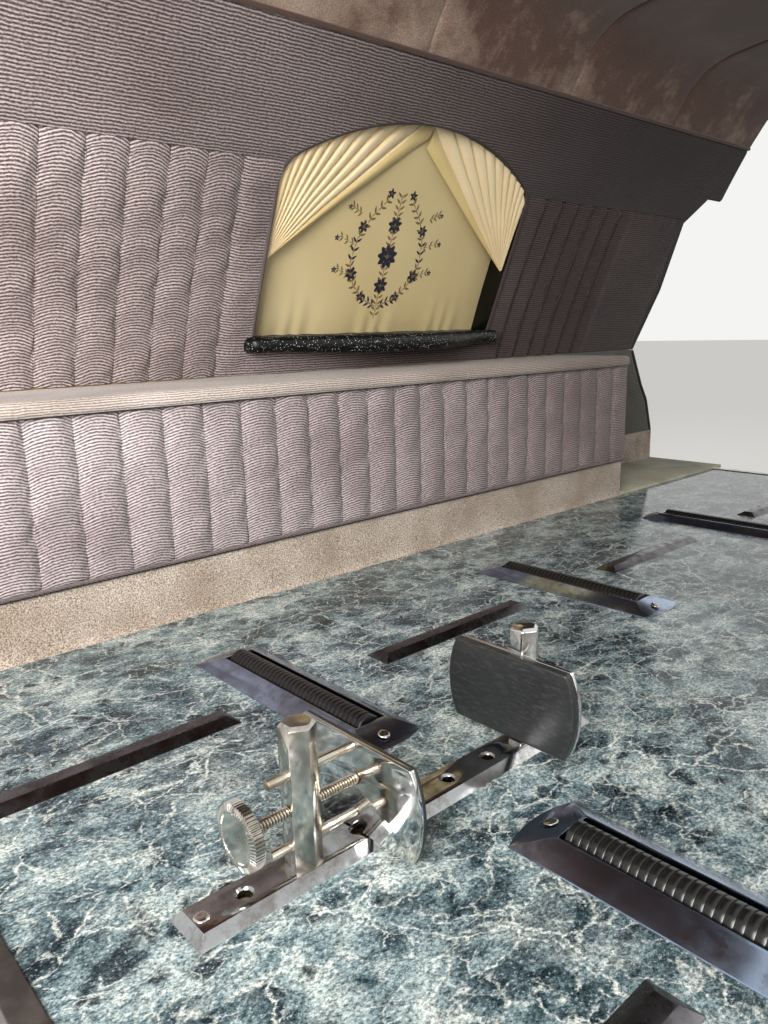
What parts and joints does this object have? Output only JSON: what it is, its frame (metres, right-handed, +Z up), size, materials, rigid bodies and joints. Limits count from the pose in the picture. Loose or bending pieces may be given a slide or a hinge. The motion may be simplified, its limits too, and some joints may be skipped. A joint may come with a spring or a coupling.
{
  "type": "hearse casket bay section",
  "caption": "Casket bay of a hearse: marbled deck with rollers, skid strips and two bier pins, padded wheel box, leaning pleated side wall with draped niche, and half the headliner.",
  "frame": {"origin": "on the deck's centre line, at the middle of the section's length, at the underside of the bearers", "axes": "+X to the vehicle's front, +Y to its left side wall, +Z up"},
  "size_m": [2.096, 1.396, 1.1017],
  "materials": {
    "timber": "planed softwood",
    "plywood": "sanded birch plywood",
    "marble_laminate": "glossy laminate with a dark green-blue marble pattern",
    "brown_sill": "satin brown",
    "aluminium_nosing": "polished",
    "stainless": "polished stainless steel",
    "chrome": "chrome plated",
    "black_rubber": "moulded black rubber",
    "ribbed_cloth": "ribbed mauve-grey cloth",
    "lid_cloth": "paler ribbed cloth",
    "kick_carpet": "short beige-brown carpet",
    "velour": "brown-taupe velour",
    "satin": "pale gold satin",
    "drape_satin": "cream pleated satin",
    "tray_black": "black flock",
    "shelf_black": "black sparkle lacquer",
    "hoop_steel": "grey primer"
  },
  "bodies": {
    "root": {"deck_bearers": "timber", "deck_board": "plywood", "deck_laminate": "marble_laminate", "side_floor_board": "plywood", "rear_sill_trim": "brown_sill", "front_edge_trim": "aluminium_nosing", "skid_strips": "stainless", "bier_rail": "chrome", "box_frame": "plywood", "box_face_pad": "ribbed_cloth", "kick_strip": "kick_carpet", "box_end_pad": "ribbed_cloth", "box_lid_pad": "lid_cloth", "side_lower_board": "plywood", "side_return_pad": "ribbed_cloth", "sill_carpet": "kick_carpet", "wall_board": "plywood", "lining_rear": "ribbed_cloth", "lining_front": "ribbed_cloth", "lining_band": "ribbed_cloth", "niche_tray": "tray_black", "niche_panel": "satin", "drape_front": "drape_satin", "drape_rear": "drape_satin", "niche_shelf": "shelf_black", "headliner": "velour", "hoop_ribs": "hoop_steel", "roof_ridge": "hoop_steel", "roller_frame_left_rear": "stainless", "roller_frame_right_rear": "stainless", "roller_frame_left_middle": "stainless", "roller_frame_right_middle": "stainless", "roller_frame_left_front": "stainless", "roller_frame_right_front": "stainless"},
    "roller_left_rear": {"roller_left_rear": "black_rubber"},
    "roller_right_rear": {"roller_right_rear": "black_rubber"},
    "roller_left_middle": {"roller_left_middle": "black_rubber"},
    "roller_right_middle": {"roller_right_middle": "black_rubber"},
    "roller_left_front": {"roller_left_front": "black_rubber"},
    "roller_right_front": {"roller_right_front": "black_rubber"},
    "clamp_pin": {"clamp_post": "chrome"},
    "clamp_jaw": {"clamp_plate": "chrome", "clamp_pad": "black_rubber", "clamp_guide_rods": "chrome"},
    "clamp_spindle": {"clamp_screw": "chrome", "clamp_knob": "chrome"},
    "stop_pin": {"stop_post": "chrome", "stop_plate": "chrome", "stop_pad": "black_rubber"}
  },
  "joints": [
    {"name": "roller_left_rear_turn", "type": "hinge", "parent": "root", "child": "roller_left_rear", "pos_m": [-0.66, 0.247, 0.082], "axis": [0, 1, 0], "continuous": true},
    {"name": "roller_right_rear_turn", "type": "hinge", "parent": "root", "child": "roller_right_rear", "pos_m": [-0.66, -0.247, 0.082], "axis": [0, 1, 0], "continuous": true},
    {"name": "roller_left_middle_turn", "type": "hinge", "parent": "root", "child": "roller_left_middle", "pos_m": [-0.134, 0.247, 0.082], "axis": [0, 1, 0], "continuous": true},
    {"name": "roller_right_middle_turn", "type": "hinge", "parent": "root", "child": "roller_right_middle", "pos_m": [-0.134, -0.247, 0.082], "axis": [0, 1, 0], "continuous": true},
    {"name": "roller_left_front_turn", "type": "hinge", "parent": "root", "child": "roller_left_front", "pos_m": [0.392, 0.247, 0.082], "axis": [0, 1, 0], "continuous": true},
    {"name": "roller_right_front_turn", "type": "hinge", "parent": "root", "child": "roller_right_front", "pos_m": [0.392, -0.247, 0.082], "axis": [0, 1, 0], "continuous": true},
    {"name": "clamp_pin_lift", "type": "slide", "parent": "root", "child": "clamp_pin", "axis": [0, 0, 1], "range_m": [0, 0.12]},
    {"name": "clamp_jaw_slide", "type": "slide", "parent": "clamp_pin", "child": "clamp_jaw", "axis": [1, 0, 0], "range_m": [-0.028, 0.02]},
    {"name": "clamp_screw_turn", "type": "hinge", "parent": "clamp_jaw", "child": "clamp_spindle", "pos_m": [-0.834, 0, 0.134], "axis": [1, 0, 0], "range_deg": [-3960, 2830]},
    {"name": "stop_pin_lift", "type": "slide", "parent": "root", "child": "stop_pin", "axis": [0, 0, 1], "range_m": [0, 0.12]}
  ],
  "couplings": [
    {"joint": "clamp_jaw_slide", "follows": "clamp_screw_turn", "m_per_rad": 0.00040425}
  ]
}
